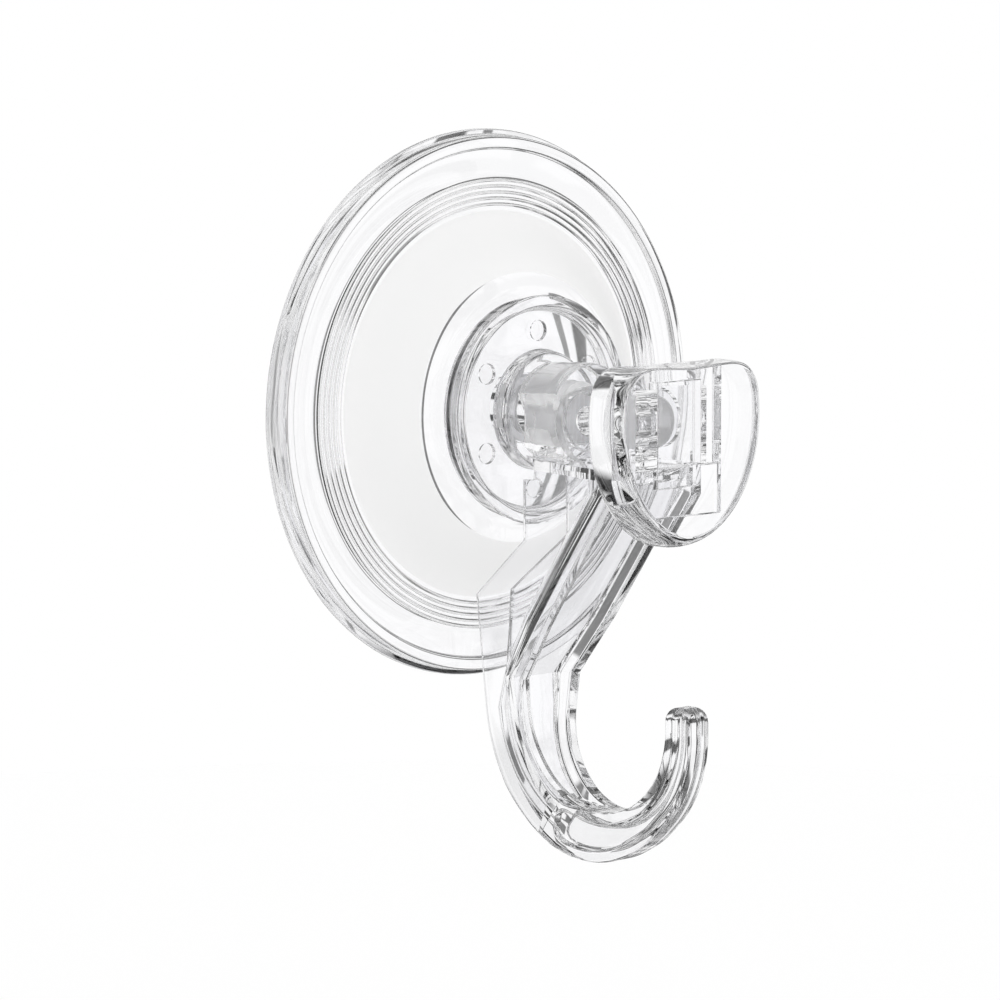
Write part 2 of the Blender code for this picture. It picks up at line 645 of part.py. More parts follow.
def paddle_rings():
    """Outline of the paddle at each depth: straight at the back, rounded in at the front.

    The flat top keeps its height, so only the sides and the foot are rounded.
    """
    rows = [(LEVER_BACK, 0.0)]
    start = LEVER_BACK + LEVER_THICKNESS - LEVER_CROWN_DEPTH
    for step in range(LEVER_CROWN_STEPS + 1):
        turn = math.pi / 2 * step / LEVER_CROWN_STEPS
        rows.append((start + LEVER_CROWN_DEPTH * math.sin(turn), LEVER_CROWN_INSET * (1 - math.cos(turn))))
    rings = []
    for forward, inset in rows:
        wide = 1 - inset / LEVER_HALF_WIDTH
        high = 1 - inset / LEVER_HALF_HEIGHT
        ring = []
        for across, up in lever_outline():
            below = min(0.0, up - LEVER_CENTRE_HEIGHT)
            ring.append((across * wide, forward, up - below + below * high))
        rings.append(ring)
    return rings


def build_lever(material):
    """Round paddle on a platform with two cam cheeks, and a pocket for the end of the stem."""
    lever = finish("lever", lofted("lever", paddle_rings()), material, origin=place(0.0, *PIN_CENTRE))
    platform_back = LEVER_BACK - PLATFORM_HEIGHT
    platform = side_block("platform", platform_back, LEVER_BACK + JOIN_OVERLAP, PLATFORM_BOTTOM,
                          PLATFORM_TOP, -PLATFORM_HALF_WIDTH, PLATFORM_HALF_WIDTH)
    combine(lever, cutter("platform", platform), "UNION")
    for side, label in ((-1, "left"), (1, "right")):
        low, high = sorted((side * CHEEK_INNER, side * CHEEK_OUTER))
        cheek = extruded_outline("cheek_" + label, cheek_outline(), low, high)
        combine(lever, cutter("cheek_" + label, cheek), "UNION")
        low, high = sorted((side * CHEEK_INNER, side * PLATFORM_HALF_WIDTH))
        root = side_block("root_" + label, platform_back - ROOT_HEIGHT, platform_back + JOIN_OVERLAP,
                          CHEEK_ROOT_BOTTOM, ROOT_TOP, low, high)
        combine(lever, cutter("root_" + label, root), "UNION")
    pocket = side_block("lever_pocket", platform_back - CUT_OVERRUN, LEVER_BACK + LEVER_POCKET_DEPTH,
                        LEVER_POCKET_BOTTOM, LEVER_POCKET_TOP, -CHEEK_INNER, CHEEK_INNER)
    combine(lever, cutter("lever_pocket", pocket), "DIFFERENCE")
    bore = cross_cylinder("lever_bore", PIN_RADIUS + CLEARANCE, PIN_CENTRE, CHEEK_OUTER + 1.0,
                          PIN_SEGMENTS)
    combine(lever, cutter("lever_bore", bore), "DIFFERENCE")
    for side, label in ((-1, "left"), (1, "right")):
        depth = PIN_HEAD_THICKNESS + CLEARANCE
        recess = cross_cylinder("recess_" + label, PIN_HEAD_RADIUS + CLEARANCE, PIN_CENTRE, depth,
                                PIN_SEGMENTS)
        seat = cutter("recess_" + label, recess)
        seat.location.x = side * CHEEK_OUTER * MM
        combine(lever, seat, "DIFFERENCE")
    return lever


def main():
    clear_scene()
    soft = clear_plastic("soft_clear_pvc", (0.96, 0.97, 0.97), 0.04, 1.53)
    hard = clear_plastic("clear_polycarbonate", (0.98, 0.98, 0.98), 0.02, 1.585)
    build_cup(soft)
    build_stem(hard)
    build_cap(hard)
    build_hook(hard)
    build_pin(hard)
    build_lever(hard)


main()
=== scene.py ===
import json
import math

import bmesh
import bpy
from mathutils import Matrix, Vector


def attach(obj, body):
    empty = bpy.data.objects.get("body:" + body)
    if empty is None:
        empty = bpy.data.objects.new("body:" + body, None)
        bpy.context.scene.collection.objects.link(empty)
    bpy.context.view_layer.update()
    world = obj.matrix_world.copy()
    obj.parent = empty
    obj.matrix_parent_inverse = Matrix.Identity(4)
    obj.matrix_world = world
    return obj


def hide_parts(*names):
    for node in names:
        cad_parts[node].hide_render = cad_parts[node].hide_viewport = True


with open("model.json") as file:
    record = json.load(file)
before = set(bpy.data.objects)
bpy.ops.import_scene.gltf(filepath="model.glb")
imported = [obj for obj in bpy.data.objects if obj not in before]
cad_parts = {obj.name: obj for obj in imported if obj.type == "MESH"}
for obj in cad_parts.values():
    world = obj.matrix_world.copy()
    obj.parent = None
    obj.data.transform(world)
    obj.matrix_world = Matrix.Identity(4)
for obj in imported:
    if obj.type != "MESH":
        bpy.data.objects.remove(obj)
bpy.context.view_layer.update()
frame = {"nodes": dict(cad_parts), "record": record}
scene = bpy.context.scene
scene.view_settings.view_transform = "Standard"
# light is reflected many times inside the thick clear lever and arm
scene.cycles.max_bounces = 32
scene.cycles.glossy_bounces = 24
scene.cycles.transmission_bounces = 24
mm = 0.001
touching = 1e-6                         # metres: points this close are one point
onLine = 5e-6                           # metres: how far a point may stray from its ring
roundSteps = 3                          # faces across a rounded edge
hingeForward = 31.8                     # mm from the wall to the hinge axis
bodyOf = {node: body for body, nodes in frame["record"]["behaviour"]["bodies"].items()
          for node in nodes}
print("frame loaded:", sorted(frame["nodes"]))


def spot(across, forward, up):
    # millimetres across, forward of the wall and up
    return Vector((across * mm, -forward * mm, up * mm))


def linear(code):
    # sRGB hex to the linear colour that the nodes want
    channels = [int(code[i:i + 2], 16) / 255 for i in (0, 2, 4)]
    return [c / 12.92 if c <= 0.04045 else ((c + 0.055) / 1.055) ** 2.4 for c in channels] + [1.0]


def addNode(tree, kind, settings=None, links=None):
    node = tree.nodes.new(kind)
    for name, value in (settings or {}).items():
        if isinstance(name, str) and hasattr(node, name):
            setattr(node, name, value)
        else:
            node.inputs[name].default_value = value
    for name, source in (links or {}).items():
        tree.links.new(source, node.inputs[name])
    return node


def greyRamp(tree, source, stops):
    # stops are (position, grey level)
    node = addNode(tree, "ShaderNodeValToRGB", None, {"Fac": source})
    ramp = node.color_ramp
    while len(ramp.elements) < len(stops):
        ramp.elements.new(0.5)
    for element, (position, level) in zip(ramp.elements, stops):
        element.position = position
        element.color = (level, level, level, 1.0)
    return node


def blend(tree, share, first, second):
    # share is a number or a socket: 0 gives the first shader, 1 the second
    links = {1: first.outputs[0], 2: second.outputs[0]}
    if isinstance(share, float):
        return addNode(tree, "ShaderNodeMixShader", {0: share}, links)
    return addNode(tree, "ShaderNodeMixShader", None, {0: share, **links})


def clearRays(tree, path):
    # 1 for the rays that a glassy surface has sent on
    return addNode(tree, "ShaderNodeMath", {"operation": "MAXIMUM"},
                   {0: path.outputs["Is Glossy Ray"], 1: path.outputs["Is Transmission Ray"]})


# the view of the photograph

camera = {
    "place": (-462.4, 521.1, 70.1),     # across, forward, up in mm
    "right": (0.7447, -0.6673, 0.0),
    "up": (0.0811, 0.0906, 0.9925),
    "back": (-0.6624, -0.7392, 0.1216),
    "lens": 162.15,
    "sensor": 36.0,
    "near": 0.05,
    "far": 20.0,
}


def makeCamera(settings):
    data = bpy.data.cameras.new("photoCamera")
    data.sensor_width = settings["sensor"]
    data.lens = settings["lens"]
    data.clip_start = settings["near"]
    data.clip_end = settings["far"]
    eye = bpy.data.objects.new("photoCamera", data)
    turn = Matrix((settings["right"], settings["up"], settings["back"])).transposed()
    eye.matrix_world = Matrix.Translation(spot(*settings["place"])) @ turn.to_4x4()
    scene.collection.objects.link(eye)
    scene.camera = eye


makeCamera(camera)
print("camera set")

# soft plasticised PVC, injection moulded against polished steel: limp, glassy, colourless
softPvc = {
    "name": "clearPvcMoulded",
    "tint": "fefeff",
    "ior": 1.53,
    "clear": 1.0,                       # share of the light that goes into the material
    "gloss": 0.02,                      # roughness, here of the polished mould
    "ripple": 9.0,                      # spacing in mm of the ripples that the flow left
}
# the same PVC where the mould was etched: milky white
satinPvc = {
    "name": "satinPvcMoulded",
    "tint": "fefefe",
    "ior": 1.53,
    "clear": 0.08,
    "gloss": 0.5,
    "ripple": 9.0,
}
# hard polycarbonate, injection moulded against polished steel: glass clear with crisp edges
hardPc = {
    "name": "clearPolycarbonateMoulded",
    "tint": "fefeff",
    "ior": 1.585,
    "clear": 1.0,
    "gloss": 0.01,
    "ripple": 7.0,
}
# the same polycarbonate off unpolished steel: the stem, and the bore that it slides in
satinPc = {
    "name": "satinPolycarbonateMoulded",
    "tint": "fefeff",
    "ior": 1.585,
    "clear": 0.7,
    "gloss": 0.3,
    "ripple": 7.0,
}
flowMarks = {
    "detail": 1.0,
    "strength": 0.05,
    "depth": 0.2,                       # mm
    "wearFrom": 0.4,
    "wearTo": 0.75,
    "wear": 0.015,                      # roughness that handling adds on the crests
}


def makeClear(settings, marks):
    material = bpy.data.materials.new(settings["name"])
    material.use_nodes = True
    tree = material.node_tree
    shader = tree.nodes["Principled BSDF"]
    shader.inputs["IOR"].default_value = settings["ior"]
    shader.inputs["Transmission Weight"].default_value = settings["clear"]
    shader.inputs["Base Color"].default_value = linear(settings["tint"])
    place = addNode(tree, "ShaderNodeTexCoord")
    flow = addNode(tree, "ShaderNodeTexNoise",
                   {"Scale": 1.0 / (settings["ripple"] * mm), "Detail": marks["detail"]},
                   {"Vector": place.outputs["Object"]})
    bump = addNode(tree, "ShaderNodeBump",
                   {"Strength": marks["strength"], "Distance": marks["depth"] * mm},
                   {"Height": flow.outputs["Fac"]})
    tree.links.new(bump.outputs["Normal"], shader.inputs["Normal"])
    wear = addNode(tree, "ShaderNodeMapRange",
                   {"From Min": marks["wearFrom"], "From Max": marks["wearTo"],
                    "To Min": settings["gloss"], "To Max": settings["gloss"] + marks["wear"]},
                   {"Value": flow.outputs["Fac"]})
    tree.links.new(wear.outputs["Result"], shader.inputs["Roughness"])
    return material


pvc = makeClear(softPvc, flowMarks)
satin = makeClear(satinPvc, flowMarks)
polycarbonate = makeClear(hardPc, flowMarks)
satinCore = makeClear(satinPc, flowMarks)
print("materials made")


def between(a, b, share):
    return tuple(p + (q - p) * share for p, q in zip(a, b))


def bend(first, corner, last, t):
    # point at share t of the curve that leaves first towards corner and arrives at last
    return tuple((1 - t) ** 2 * p + 2 * t * (1 - t) * q + t * t * r
                 for p, q, r in zip(first, corner, last))


def mirrored(half):
    # half an outline, from middle to middle, closed by its mirror image
    return half + [(-across, other) for across, other in reversed(half[1:-1])]


def readTable(table, position):
    # straight between rows of (position, value, ...)
    for low, high in zip(table, table[1:]):
        if position <= high[0]:
            share = (position - low[0]) / (high[0] - low[0])
            return [a + (b - a) * share for a, b in zip(low[1:], high[1:])]
    return list(table[-1][1:])


def cutBack(corner, other, cut):
    # where a rounding starts on the way to the other corner: before the middle, and never past it
    length = math.dist(corner, other)
    return between(corner, other, min(cut, 0.45 * length) / max(length, 1e-6))


def roundCorners(corners, cuts):
    # a polyline whose inner corners are cut back and bent round in three steps
    points = [corners[0]]
    for before, corner, after, cut in zip(corners, corners[1:], corners[2:], cuts):
        start = cutBack(corner, before, cut)
        end = cutBack(corner, after, cut)
        points += [bend(start, corner, end, t) for t in (0.0, 1 / 3, 2 / 3, 1.0)]
    points.append(corners[-1])
    return points


def turned(profile, steps, closed=False):
    # rows of (radius, forward, rounding) in mm, spun about the axis of the cup
    bm = bmesh.new()
    verts = [bm.verts.new(spot(radius, forward, 0.0)) for radius, forward, rounding in profile]
    edges = [bm.edges.new(pair) for pair in zip(verts, verts[1:])]
    if closed:
        edges.append(bm.edges.new((verts[-1], verts[0])))
    bmesh.ops.spin(bm, geom=verts + edges, cent=(0, 0, 0), axis=(0, 1, 0), angle=math.tau,
                   steps=steps, use_merge=True)
    bmesh.ops.remove_doubles(bm, verts=bm.verts, dist=touching)
    bmesh.ops.recalc_face_normals(bm, faces=bm.faces)
    for radius, forward, rounding in profile:
        if rounding:
            softenRing(bm, radius, forward, rounding)
    return bm


def softenRing(bm, radius, forward, rounding):
    def onRing(vert):
        away = math.hypot(vert.co.x, vert.co.z) - radius * mm
        return abs(away) < onLine and abs(vert.co.y + forward * mm) < onLine
    ring = [edge for edge in bm.edges if onRing(edge.verts[0]) and onRing(edge.verts[1])]
    bmesh.ops.bevel(bm, geom=ring, offset=rounding * mm, offset_type="OFFSET", affect="EDGES",
                    segments=roundSteps, profile=0.5, material=-1, clamp_overlap=True)


def loft(rings):
    # extrudes the first ring through the others, which have as many points, and closes both ends
    bm = bmesh.new()
    verts = [bm.verts.new(spot(*point)) for point in rings[0]]
    edges = [bm.edges.new((verts[i - 1], verts[i])) for i in range(len(verts))]
    bm.faces.new(verts)
    for ring in rings[1:]:
        made = bmesh.ops.extrude_edge_only(bm, edges=edges)["geom"]
        fresh = {item for item in made if isinstance(item, bmesh.types.BMVert)}
        following = []
        for vert in verts:
            following.append(next(edge.other_vert(vert) for edge in vert.link_edges
                                  if edge.other_vert(vert) in fresh))
        for vert, point in zip(following, ring):
            vert.co = spot(*point)
        verts = following
        edges = [bm.edges.get((verts[i - 1], verts[i])) for i in range(len(verts))]
    bm.faces.new(verts)
    bmesh.ops.recalc_face_normals(bm, faces=bm.faces)
    return bm


def block(low, high, rounding=0.0):
    # box between two (across, forward, up) corners
    bm = bmesh.new()
    bmesh.ops.create_cube(bm, size=1.0)
    size = [b - a for a, b in zip(low, high)]
    middle = [(a + b) / 2 for a, b in zip(low, high)]
    bmesh.ops.scale(bm, verts=bm.verts, vec=Vector(size) * mm)
    bmesh.ops.translate(bm, verts=bm.verts, vec=spot(*middle))
    if rounding:
        bmesh.ops.bevel(bm, geom=bm.edges[:], offset=rounding * mm, offset_type="OFFSET",
                        affect="EDGES", segments=roundSteps, profile=0.5, material=-1)
    return bm


def crossCylinder(radius, low, high, steps):
    # round bar along the hinge axis, between two places across
    bm = bmesh.new()
    bmesh.ops.create_cone(bm, cap_ends=True, segments=steps, radius1=radius * mm, radius2=radius * mm,
                          depth=(high - low) * mm)
    bmesh.ops.rotate(bm, verts=bm.verts, cent=(0, 0, 0),
                     matrix=Matrix.Rotation(math.radians(90), 3, "Y"))
    bmesh.ops.translate(bm, verts=bm.verts, vec=spot((low + high) / 2, hingeForward, 0.0))
    return bm


def asObject(bm, name):
    mesh = bpy.data.meshes.new(name)
    bm.to_mesh(mesh)
    bm.free()
    made = bpy.data.objects.new(name, mesh)
    scene.collection.objects.link(made)
    return made


def carve(base, tools):
    # tools are (bmesh, operation); the helpers are removed once the shape is kept
    held = asObject(base, "shaping")
    helpers = []
    for index, (tool, operation) in enumerate(tools):
        helper = asObject(tool, "tool" + str(index))
        modifier = held.modifiers.new(helper.name, "BOOLEAN")
        modifier.operation = operation
        modifier.solver = "EXACT"
        modifier.object = helper
        helpers.append(helper)
    depsgraph = bpy.context.evaluated_depsgraph_get()
    mesh = bpy.data.meshes.new_from_object(held.evaluated_get(depsgraph))
    bm = bmesh.new()
    bm.from_mesh(mesh)
    for obj in helpers + [held]:
        bpy.data.objects.remove(obj, do_unlink=True)
    bpy.data.meshes.remove(mesh)
    return bm


def finishPiece(bm, name, node, material, sharpAngle=32):
    bmesh.ops.remove_doubles(bm, verts=bm.verts, dist=touching)
    bmesh.ops.dissolve_degenerate(bm, edges=bm.edges, dist=touching)
    bmesh.ops.recalc_face_normals(bm, faces=bm.faces)
    faces = len(bm.faces)
    piece = asObject(bm, name)
    piece.data.materials.clear()
    piece.data.materials.append(material)
    piece.data.shade_smooth()
    piece.data.set_sharp_from_angle(angle=math.radians(sharpAngle))
    if material is not pvc:
        # flat faces stay optically flat, the small roundings between them take most of the turn
        flat = piece.modifiers.new("flatFaces", "WEIGHTED_NORMAL")
        flat.keep_sharp = True
        flat.weight = 50
    # soft light reaches the satin surfaces through the glassy ones
    piece.visible_diffuse = material is satinCore
    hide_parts(node)
    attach(piece, bodyOf[node])
    print(name, faces, "faces")
    return piece


# suction cup: radii from its axis, the rest forward from the wall, all in mm

cup = {
    "radius": 42.5,
    "sealInner": 33.0,
    "hollowDepth": 4.0,
    "hollowFlat": 11.0,
    "hollowSteps": 16,
    "lip": 0.7,
    "skirt": 2.7,
    "beadInset": 0.9,
    "beadFoot": 0.5,
    "beadHeight": 0.8,
    "beadWidth": 2.2,
    "beadSlope": 0.25,
    "draft": 0.1,                       # how far a moulded face leans to come out of the mould
    "skirtEnd": (0.5, -0.2),            # outward and forward of the outermost ridge's foot
    "ridges": 5,
    "ridgeOuter": 34.9,
    "ridgePitch": 0.93,
    "ridgeBase": 3.2,
    # one ridge from its outer foot to its inner one: share of the pitch, height, rounding
    "ridge": ((0.0, 0.0, 0.06), (0.16, 0.55, 0.06), (0.34, 0.55, 0.06), (0.5, 0.0, 0.05)),
    "domeFoot": 30.0,
    "domeTopRadius": 20.2,
    "domeTop": 10.4,
    "domeEase": (0.1, 0.85),            # the part of half a wave that the dome's slope follows
    "domeSteps": 16,
    "topRadius": 18.5,
    "top": 10.9,
    "socket": 4.3,
    "discRadius": 5.7,
    "discBack": 5.7,
    "discFront": 8.1,
    "steps": 224,
    "satin": (20.7, 29.9),              # radii between which the front of the dome is etched
}


def ease(share):
    # half a wave, from 0 up to 1
    return (1 - math.cos(math.pi * share)) / 2


def cupProfile(c):
    rows = [(0.0, c["hollowDepth"], 0), (c["hollowFlat"], c["hollowDepth"], 0)]
    for step in range(1, c["hollowSteps"]):
        share = step / c["hollowSteps"]
        radius = c["hollowFlat"] + (c["sealInner"] - c["hollowFlat"]) * share
        rows.append((radius, c["hollowDepth"] * (1 + math.cos(math.pi * share)) / 2, 0))
    beadTop = c["skirt"] + c["beadHeight"]
    outer = c["radius"] - c["beadInset"]
    outward, forward = c["skirtEnd"]
    rows += [
        (c["sealInner"], 0.0, 0),
        (c["radius"], 0.0, 0.12),
        (c["radius"], c["lip"], 0.25),
        (outer, c["lip"] + c["beadFoot"], 0.2),
        (outer - c["draft"], beadTop, 0.55),
        (outer - c["beadWidth"] + c["beadSlope"], beadTop - c["draft"], 0.3),
        (outer - c["beadWidth"], c["skirt"], 0.15),
        (c["ridgeOuter"] + outward, c["ridgeBase"] + forward, 0),
    ]
    for ridge in range(c["ridges"]):
        edge = c["ridgeOuter"] - ridge * c["ridgePitch"]
        for share, height, rounding in c["ridge"]:
            rows.append((edge - c["ridgePitch"] * share, c["ridgeBase"] + height, rounding))
    rows.append((c["ridgeOuter"] - c["ridges"] * c["ridgePitch"], c["ridgeBase"], 0))
    first, last = c["domeEase"]
    for step in range(c["domeSteps"] + 1):
        share = step / c["domeSteps"]
        radius = c["domeFoot"] + (c["domeTopRadius"] - c["domeFoot"]) * share
        rise = ease(first + (last - first) * share) - ease(first)
        height = (c["domeTop"] - c["ridgeBase"]) * rise / (ease(last) - ease(first))
        rows.append((radius, c["ridgeBase"] + height, 0))
    rows += [
        (c["topRadius"], c["top"], 0.4),
        (c["socket"], c["top"], 0.2),
        (c["socket"], c["discFront"], 0),
        (c["discRadius"], c["discFront"], 0),
        (c["discRadius"], c["discBack"], 0),
        (0.0, c["discBack"], 0),
    ]
    return rows


def makeCup(c):
    piece = finishPiece(turned(cupProfile(c), c["steps"]), "moulded_cup", "suction_cup",
                        pvc)
    piece.data.materials.append(satin)
    inner, outer = c["satin"]
    for face in piece.data.polygons:
        radius = math.hypot(face.center.x, face.center.z) / mm
        if inner < radius < outer and face.normal.y < 0:
            face.material_index = 1


makeCup(cup)

# stem with its foot disc and the hole for the pin

stem = {
    "radius": 4.0,
    "end": 37.3,
    "endRound": 0.8,
    "discRadius": 5.4,
    "discBack": 6.0,
    "discFront": 7.8,
    "steps": 96,
    "hole": 2.3,
    "holeReach": 6.0,                   # the hole is cut from this far to either side
    "holeSteps": 48,
}


def makeStem(s):
    profile = [
        (0.0, s["discBack"], 0),
        (s["discRadius"], s["discBack"], 0.3),
        (s["discRadius"], s["discFront"], 0.3),
        (s["radius"], s["discFront"], 0.4),
        (s["radius"], s["end"], s["endRound"]),
        (0.0, s["end"], 0),
    ]
    hole = crossCylinder(s["hole"], -s["holeReach"], s["holeReach"], s["holeSteps"])
    finishPiece(carve(turned(profile, s["steps"]), [(hole, "DIFFERENCE")]), "moulded_stem", "stem",
                satinCore)


makeStem(stem)

# pressure cap that bears on the dome

cap = {
    "back": 11.2,
    "rimBack": 17.1,
    "rimFront": 17.7,
    "rimInner": 15.6,
    "front": 15.1,
    "face": 13.9,
    "plate": 1.3,
    "draft": 0.1,
    "boss": 9.1,
    "bossFront": 16.2,
    "bossChamfer": 0.8,
    "chamferRise": 0.4,                 # share of the chamfer's width that it takes off the side
    "hub": 7.4,
    "bore": 4.3,
    "steps": 192,
    "marks": 6,
    "markCircle": 12.1,
    "markRadius": 1.7,
    "markTaper": 0.92,
    "markDepth": 0.6,
    "markSteps": 40,
}


def capMarks(c):
    # one mesh with all of the round cutters
    bm = bmesh.new()
    for index in range(c["marks"]):
        turn = math.tau * index / c["marks"]
        verts = bmesh.ops.create_cone(bm, cap_ends=True, segments=c["markSteps"],
                                      radius1=c["markRadius"] * mm,
                                      radius2=c["markRadius"] * c["markTaper"] * mm,
                                      depth=2 * c["markDepth"] * mm)["verts"]
        bmesh.ops.rotate(bm, verts=verts, cent=(0, 0, 0),
                         matrix=Matrix.Rotation(math.radians(-90), 3, "X"))
        place = spot(c["markCircle"] * math.sin(turn), c["face"], c["markCircle"] * math.cos(turn))
        bmesh.ops.translate(bm, verts=verts, vec=place)
    return bm


def makeCap(c):
    under = c["face"] - c["plate"]
    profile = [
        (c["bore"], c["back"], 0.15),
        (c["hub"], c["back"], 0.2),
        (c["hub"], under, 0.3),
        (c["rimInner"] - 2 * c["draft"], under, 0.4),
        (c["rimInner"] - c["draft"], c["back"], 0.15),
        (c["rimBack"] - c["draft"], c["back"], 0.2),
        (c["rimFront"], c["front"], 0.7),
        (c["rimInner"] + c["draft"], c["front"], 0.5),
        (c["rimInner"], c["face"], 0.35),
        (c["boss"], c["face"], 0.3),
        (c["boss"], c["bossFront"] - c["bossChamfer"] * c["chamferRise"], 0.5),
        (c["boss"] - c["bossChamfer"], c["bossFront"], 0.3),
        (c["bore"], c["bossFront"], 0.15),
    ]
    shape = carve(turned(profile, c["steps"], closed=True), [(capMarks(c), "DIFFERENCE")])
    finishPiece(shape, "moulded_cap", "pressure_cap", polycarbonate)


makeCap(cap)

# hook moulding: sleeve, arm and J

hook = {
    "sleeveBack": 16.5,
    "sleeveFront": 25.5,
    "radiusBack": 7.5,
    "radiusFront": 7.95,
    "sleeveSteps": 128,
    "bore": 4.9,
    "boreSkin": 0.02,                   # faces this close to the bore belong to it
    "guide": 4.3,
    "guideLength": 3.0,
    "guideFunnel": 1.0,                 # length over which the bore narrows to the guide
    "flatTop": 3.2,                     # from here down the round flanks slope in to the side walls
    "cutReach": 9.5,                    # the flanks are cut from this far across and below
    "cutDepth": (16.2, 27.0),           # forward, a little more than the sleeve
    "wallTop": 0.2,
    "wall": 0.9,
    "wallSink": 0.5,                    # the sleeve's walls go this far down into the arm
    "armTop": -7.0,                     # heights are from the axis of the cup
    "armFront": 37.9,
    "shoulder": (37.9, -11.2),          # this and the other outline points are (forward, up)
    "kink": (16.7, -41.0),
    "reliefBack": 18.4,
    "back": 16.0,
    "step": -10.1,                      # above here the back edge clears the cap's boss, below it the rim
    "stepSlope": 0.15,
    "ceilingSlope": 0.02,
    "hip": (16.1, -19.5),
    "knee": (4.3, -29.2),
    "shin": (4.6, -41.4),
    "slant": (0.36, 0.70, 0.88),        # how far down the front the hip, the knee and the calf are
    "calf": (0.55, 0.6),                # how far from knee to shin it is, in place and in width
    "topWidths": (7.8, 5.3),            # half widths in front and behind
    "kneeWidths": (7.6, 4.5),
    "shinWidths": (6.4, 3.4),
    "lip": 2.2,
    "lipInnerLeast": 0.35,              # share of the half width that the channel keeps
    "channel": 2.1,
    "floor": 1.7,
    "sideWall": 1.1,
    "sideWallMost": 0.5,                # share of the back's half width
    "hollowLeast": 0.3,                 # share of the back's half width
    "throat": 13.8,
    "throatCentre": (30.3, -46.2),
    # along the J in degrees: its depth, and its half widths in front and behind
    "depths": ((180, 11.8), (210, 11.3), (240, 9.9), (262, 8.5), (290, 6.5), (310, 5.7), (360, 5.3)),
    "widths": ((180, 5.9, 2.9), (205, 5.0, 2.3), (235, 4.2, 2.0), (270, 3.1, 2.1), (300, 2.5, 2.1),
               (360, 2.1, 2.1)),
    "channelFade": 238,
    "channelEnd": 262,
    "cavityEnd": 232,
    "rim": 1.8,
    "noPocket": (3.0, 5.0, 0.0),
    "pocket": 0.95,
    "pocketSlope": 0.4,
    "pocketFrom": 240,
    "pocketRound": 9,
    "pocketStart": 0.35,                # share of its full height that a pocket starts with
    "pocketPlunge": 2.5,                # how much faster it gets deep than high
    "straight": 1.9,
    "tipRound": 2.2,
    "tipSteps": (0.0, 0.3, 0.5, 0.7, 0.85, 0.95, 1.0),
    "tipLeast": 0.08,                   # the last section stays this much of the full round
    "tipDepth": 0.25,                   # least share of the depth, at the tip
    "tipWidth": 0.35,                   # least share of the width
    "jSteps": 120,
    "edge": 0.35,                       # rounding of the other edges along the arm
    "wallEdge": 0.5,                    # the back edges of the side walls are round right across
}


def armSection(h, front, back, halves, channel, cavity, pocket, shrink=1.0):
    # closed ring of points: lips and channel in front, pockets in the sides, hollow behind
    halfFront, halfBack = halves
    length = math.dist(front, back)

    def side(depth):
        return halfFront + (halfBack - halfFront) * depth / length

    start, end, sunk = pocket
    slope = h["pocketSlope"] * h["pocket"]
    lipInner = max(halfFront - h["lip"], h["lipInnerLeast"] * halfFront)
    wall = min(h["sideWall"], h["sideWallMost"] * halfBack)
    corners = [
        (0.0, channel), (lipInner, channel), (lipInner, 0.0), (halfFront, 0.0),
        (side(start), start), (side(start) - sunk, start + slope),
        (side(end) - sunk, end - slope), (side(end), end),
        (halfBack, length), (halfBack - wall, length),
        (max(side(cavity) - wall, h["hollowLeast"] * halfBack), cavity), (0.0, cavity),
    ]
    cuts = [h["edge"]] * 7 + [h["wallEdge"]] * 2 + [h["edge"]]
    narrow = h["tipWidth"] + (1 - h["tipWidth"]) * shrink
    ring = []
    for across, depth in mirrored(roundCorners(corners, cuts)):
        forward, up = between(front, back, 0.5 + (depth / length - 0.5) * shrink)
        ring.append((across * narrow, forward, up))
    return ring


def jPoint(h, angle, outward):
    turn = math.radians(angle)
    reach = h["throat"] + outward
    forward, up = h["throatCentre"]
    return (forward + reach * math.cos(turn), up + reach * math.sin(turn))


def slantRings(h):
    # from the sleeve down to the kink; channel and hollow are measured square to the slanting front
    slant = math.dist(h["shoulder"], h["kink"])
    down = ((h["kink"][0] - h["shoulder"][0]) / slant, (h["kink"][1] - h["shoulder"][1]) / slant)
    inward = (down[1], -down[0])
    rings = []

    def add(front, back, halves, channel, cavity):
        along = between(front, back, 1 / math.dist(front, back))
        lean = (along[0] - front[0]) * inward[0] + (along[1] - front[1]) * inward[1]
        length = math.dist(front, back)
        deep = length if cavity is None else min(cavity / lean, length)
        rings.append(armSection(h, front, back, halves, channel / lean, deep, h["noPocket"]))

    wide = h["topWidths"]
    channel = h["channel"]
    depth = channel + h["floor"]
    ceiling = h["armTop"] - h["floor"]
    for up, hollow in ((h["armTop"], False), (ceiling + h["ceilingSlope"], False), (ceiling, True),
                       (h["step"], True)):
        fall = (h["shoulder"][1] - up) * inward[1]
        add((h["armFront"], up), (h["reliefBack"], up), wide, max(channel + fall, 0.0),
            depth + fall if hollow else None)
    hipShare, kneeShare, calfShare = h["slant"]
    calfPlace, calfWidth = h["calf"]
    add(h["shoulder"], (h["back"], h["step"] - h["stepSlope"]), wide, channel, depth)
    add(between(h["shoulder"], h["kink"], hipShare), h["hip"], wide, channel, depth)
    add(between(h["shoulder"], h["kink"], kneeShare), h["knee"], h["kneeWidths"], channel, depth)
    add(between(h["shoulder"], h["kink"], calfShare), between(h["knee"], h["shin"], calfPlace),
        between(h["kneeWidths"], h["shinWidths"], calfWidth), channel, depth)
    add(h["kink"], h["shin"], h["shinWidths"], channel, depth)
    return rings


